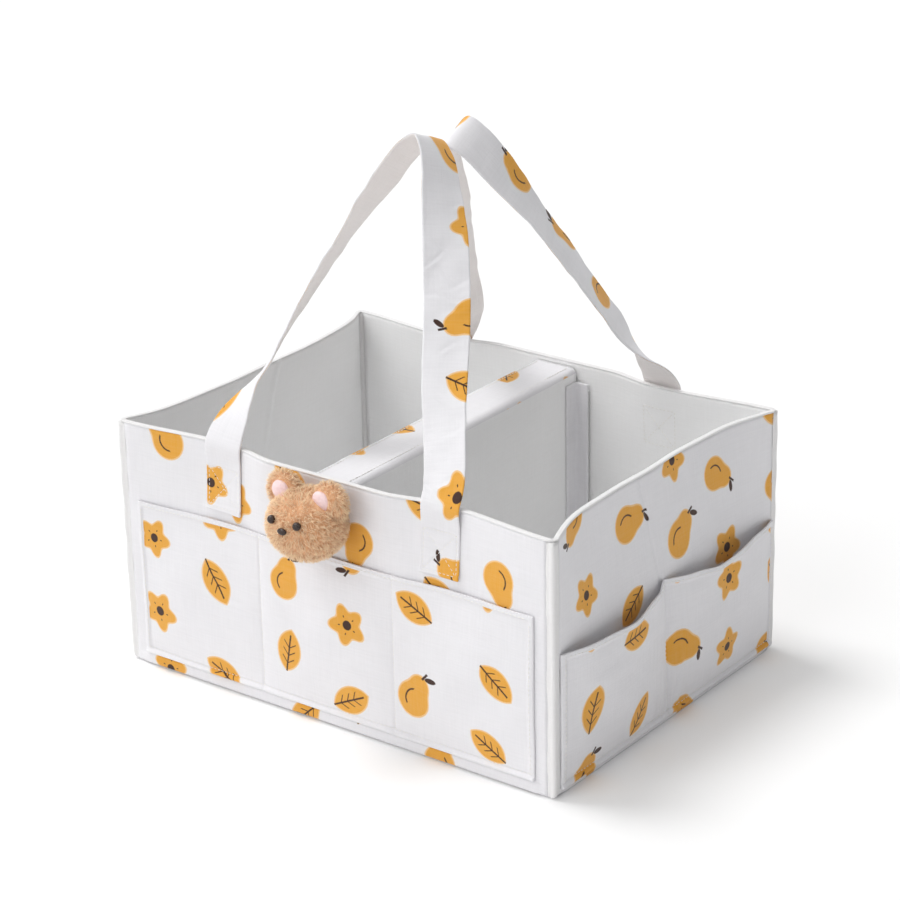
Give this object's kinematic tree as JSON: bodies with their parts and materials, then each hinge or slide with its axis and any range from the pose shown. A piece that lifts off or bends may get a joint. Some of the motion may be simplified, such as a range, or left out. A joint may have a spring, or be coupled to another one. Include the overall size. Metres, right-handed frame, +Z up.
{
  "type": "diaper caddy",
  "caption": "Open soft storage caddy with board-stiffened walls, outside pockets, two swinging strap handles, a lift-out divider and a plush head on the front.",
  "frame": {"origin": "centre of the flat underside, on the surface the caddy stands on", "axes": "+X along the long walls to the right, +Y from the front wall with the plush head to the back wall, +Z up"},
  "size_m": [0.3976, 0.3367, 0.4063],
  "materials": {
    "printed_canvas": "woven canvas, white with a scattered ochre print",
    "base_canvas": "woven canvas, plain white",
    "strap": "flat canvas strap, white, printed outside and plain inside",
    "lining": "smooth white woven lining",
    "binding": "folded white woven tape",
    "hook_and_loop": "white hook-and-loop tape",
    "board": "plain stiffener board",
    "plush": "short tan pile",
    "bead": "polished dark brown"
  },
  "bodies": {
    "root": {"base_cover": "base_canvas", "base_board": "board", "base_lining": "lining", "front_cover": "printed_canvas", "front_lining": "lining", "front_rim_binding": "binding", "right_cover": "printed_canvas", "right_lining": "lining", "right_rim_binding": "binding", "back_cover": "printed_canvas", "back_lining": "lining", "back_rim_binding": "binding", "left_cover": "printed_canvas", "left_lining": "lining", "left_rim_binding": "binding", "front_pocket_left": "printed_canvas", "front_pocket_middle": "printed_canvas", "front_pocket_right": "printed_canvas", "back_pocket_left": "printed_canvas", "back_pocket_middle": "printed_canvas", "back_pocket_right": "printed_canvas", "right_pockets": "printed_canvas", "left_pockets": "printed_canvas", "front_board": "board", "back_board": "board", "right_board_near": "board", "right_board_far": "board", "left_board_near": "board", "left_board_far": "board", "corner_binding_front_left": "binding", "corner_binding_front_right": "binding", "corner_binding_back_left": "binding", "corner_binding_back_right": "binding", "front_strap_patch_left": "strap", "front_strap_patch_right": "strap", "back_strap_patch_left": "strap", "back_strap_patch_right": "strap", "wall_loop_panel_front": "hook_and_loop", "wall_loop_panel_back": "hook_and_loop", "plush_head": "plush", "plush_ear_left": "plush", "plush_ear_right": "plush", "plush_nose": "bead", "plush_eye_left": "bead", "plush_eye_right": "bead"},
    "front_handle": {"front_handle": "strap"},
    "back_handle": {"back_handle": "strap"},
    "divider": {"divider_cover": "printed_canvas", "divider_lining": "lining", "divider_board_left": "board", "divider_board_right": "board", "divider_board_top": "board", "divider_tab_front_left": "printed_canvas", "divider_tab_front_right": "printed_canvas", "divider_tab_back_left": "printed_canvas", "divider_tab_back_right": "printed_canvas", "divider_hook_strip_front_left": "hook_and_loop", "divider_hook_strip_front_right": "hook_and_loop", "divider_hook_strip_back_left": "hook_and_loop", "divider_hook_strip_back_right": "hook_and_loop"}
  },
  "joints": [
    {"name": "front_handle_hinge", "type": "hinge", "parent": "root", "child": "front_handle", "pos_m": [0, -0.13593, 0.19], "axis": [1, 0, 0], "range_deg": [0, 165]},
    {"name": "back_handle_hinge", "type": "hinge", "parent": "root", "child": "back_handle", "pos_m": [0, 0.13593, 0.19], "axis": [-1, 0, 0], "range_deg": [0, 165]},
    {"name": "divider_lift", "type": "slide", "parent": "root", "child": "divider", "axis": [0, 0, 1], "range_m": [0, 0.16]}
  ]
}
